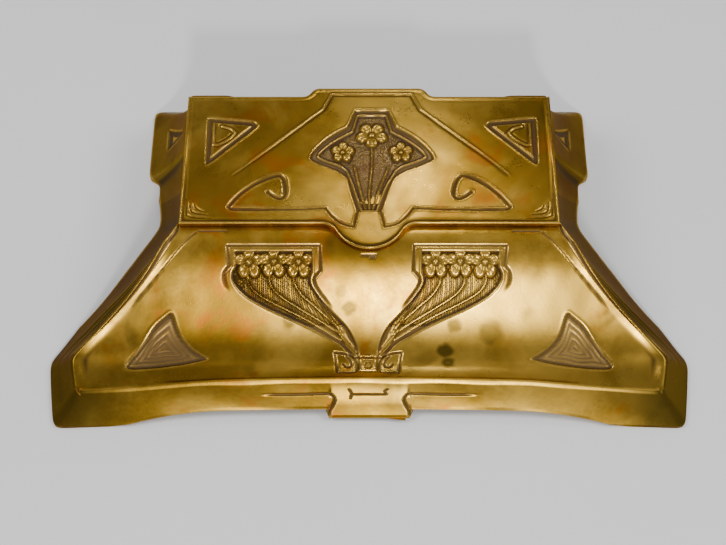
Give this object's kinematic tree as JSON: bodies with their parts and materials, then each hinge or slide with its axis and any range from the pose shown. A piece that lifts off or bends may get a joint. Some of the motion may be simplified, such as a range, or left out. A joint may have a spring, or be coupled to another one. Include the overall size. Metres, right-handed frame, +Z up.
{
  "type": "inkwell",
  "caption": "Wide brass desk inkstand with a flared skirt, a long pen tray in front and a hinged lid over two square glass ink wells.",
  "frame": {"origin": "on the desk, under the middle of the stand's bounding box", "axes": "+X to the right along the pen tray, +Y from the pen tray to the hinge, +Z up"},
  "size_m": [0.31, 0.181, 0.05],
  "materials": {
    "cast_brass": "aged cast brass, brown patina in the hollows",
    "sheet_brass": "dull sheet brass",
    "fittings": "worn turned brass",
    "baize": "green woven cloth",
    "well_glass": "pressed clear glass"
  },
  "bodies": {
    "stand": {"body_shell": "cast_brass", "base_plate": "sheet_brass", "base_baize": "baize", "base_screws": "fittings", "well_carrier": "sheet_brass", "carrier_screws": "fittings", "nib_tray": "sheet_brass", "ink_well_left": "well_glass", "ink_well_right": "well_glass", "hinge_body_leaf": "fittings", "hinge_body_rivets": "fittings", "hinge_pin": "fittings"},
    "lid": {"lid_plate": "cast_brass", "hinge_lid_leaf": "fittings", "hinge_lid_rivets": "fittings"}
  },
  "joints": [
    {"name": "lid_hinge", "type": "hinge", "parent": "stand", "child": "lid", "pos_m": [0, 0.0726, 0.044], "axis": [-1, 0, 0], "range_deg": [0, 100]}
  ]
}
